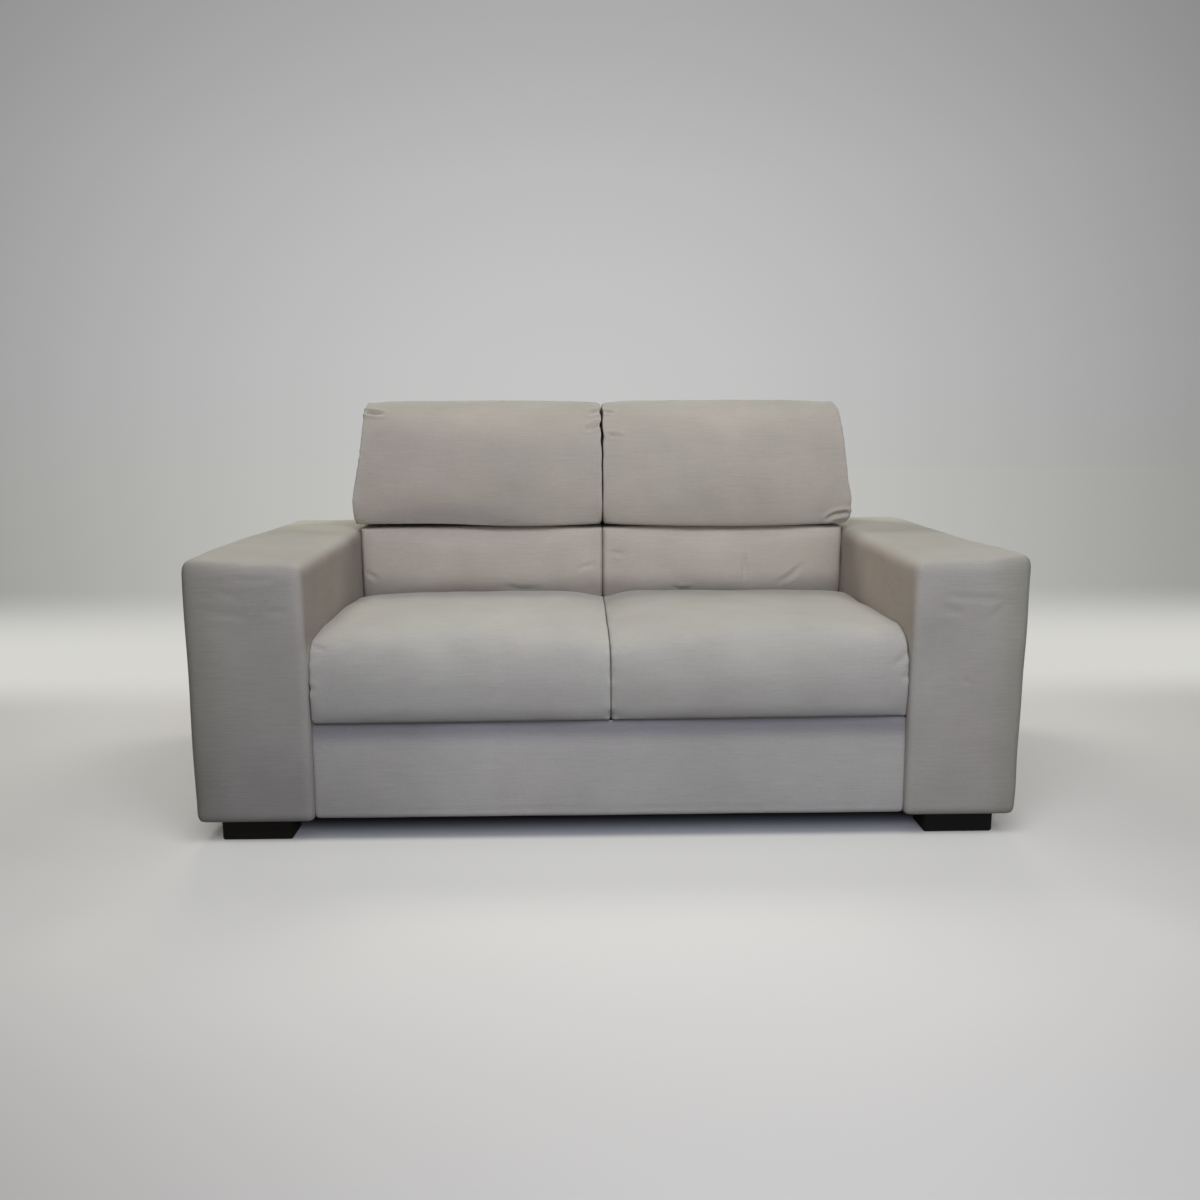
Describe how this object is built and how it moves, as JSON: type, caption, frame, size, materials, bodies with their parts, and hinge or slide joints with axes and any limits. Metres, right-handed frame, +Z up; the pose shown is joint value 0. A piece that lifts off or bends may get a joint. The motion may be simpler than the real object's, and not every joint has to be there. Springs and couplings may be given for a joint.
{
  "type": "two-seater sofa",
  "caption": "Upholstered sofa with box arms, crowned seat cushions, a lumbar band and tall head rests that tilt back on ratchet hinges, on dark block feet.",
  "frame": {"origin": "on the floor, under the middle of the sofa's outer box", "axes": "+Z up, +X along the sofa's width to the right of someone facing it, the front faces -Y"},
  "size_m": [1.65, 0.9, 0.8957],
  "materials": {
    "fabric": "matt woven greige",
    "foam": "open-cell foam",
    "board": "raw chipboard and ply",
    "hardboard": "raw hardboard",
    "timber": "planed softwood",
    "webbing": "woven elastic",
    "deck_cloth": "spunbond cloth",
    "dust_cloth": "black spunbond",
    "dark_wood": "dark stain, satin",
    "steel": "zinc plated"
  },
  "bodies": {
    "base": {"arm_bolt_rail_left": "timber", "arm_bolt_rail_right": "timber", "arm_bolts": "steel", "arm_bottom_board_left": "board", "arm_bottom_board_right": "board", "arm_cover_left": "fabric", "arm_cover_right": "fabric", "arm_front_board_left": "board", "arm_front_board_right": "board", "arm_panels_left": "hardboard", "arm_panels_right": "hardboard", "arm_rear_board_left": "board", "arm_rear_board_right": "board", "arm_top_board_left": "board", "arm_top_board_right": "board", "back_ribs": "board", "bolt_washers": "steel", "centre_rail": "timber", "corner_blocks": "timber", "dust_cover": "dust_cloth", "foot_front_left": "dark_wood", "foot_front_right": "dark_wood", "foot_rear_left": "dark_wood", "foot_rear_right": "dark_wood", "foot_screws": "steel", "front_panel": "fabric", "front_rail": "timber", "hinge_fixed_plates": "steel", "hinge_pivots": "steel", "hinge_screws": "steel", "ledge_rail": "timber", "lumbar_cushion_left": "fabric", "lumbar_cushion_right": "fabric", "lumbar_foam_left": "foam", "lumbar_foam_right": "foam", "lumbar_webbing": "webbing", "rear_base_rail": "timber", "rear_cover": "fabric", "rear_panel": "hardboard", "rear_rail": "timber", "seat_cushion_left": "fabric", "seat_cushion_right": "fabric", "seat_deck": "deck_cloth", "seat_foam_left": "foam", "seat_foam_right": "foam", "side_rail_left": "timber", "side_rail_right": "timber", "tee_nuts": "steel", "webbing_cross": "webbing", "webbing_long": "webbing"},
    "headrest_left": {"headrest_cushion_left": "fabric", "headrest_foam_left": "foam", "headrest_frame_left": "timber", "hinge_arms_left": "steel", "headrest_screws_left": "steel"},
    "headrest_right": {"headrest_cushion_right": "fabric", "headrest_foam_right": "foam", "headrest_frame_right": "timber", "hinge_arms_right": "steel", "headrest_screws_right": "steel"}
  },
  "joints": [
    {"name": "headrest_left_tilt", "type": "hinge", "parent": "base", "child": "headrest_left", "pos_m": [-0.299, 0.35, 0.59], "axis": [-1, 0, 0], "range_deg": [0, 40]},
    {"name": "headrest_right_tilt", "type": "hinge", "parent": "base", "child": "headrest_right", "pos_m": [0.299, 0.35, 0.59], "axis": [-1, 0, 0], "range_deg": [0, 40]}
  ]
}
